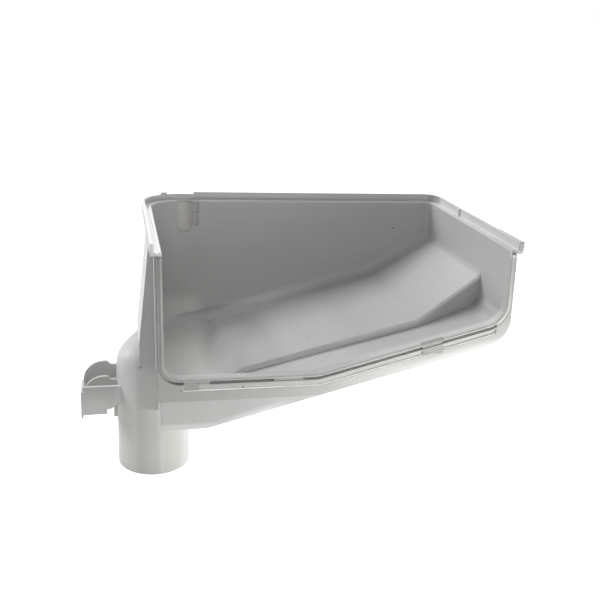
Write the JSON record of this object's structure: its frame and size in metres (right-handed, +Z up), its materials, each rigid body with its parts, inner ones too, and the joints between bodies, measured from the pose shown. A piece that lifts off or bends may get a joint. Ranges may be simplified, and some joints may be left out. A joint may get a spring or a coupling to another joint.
{
  "type": "washing machine dispenser hopper",
  "caption": "Open-fronted dispenser hopper tub with a sloping floor, sump, downward outlet spigot, hose clip, rimmed ledge and grooved front flange.",
  "frame": {"origin": "on the outlet spigot's axis, at its lower end", "axes": "+X to the right along the hopper's width, +Y to the back, -Y out of the open front, +Z up"},
  "size_m": [0.2524, 0.1362, 0.1548],
  "materials": {
    "plastic": "satin moulded, off-white"
  },
  "bodies": {
    "root": {"hopper": "plastic"}
  },
  "joints": []
}
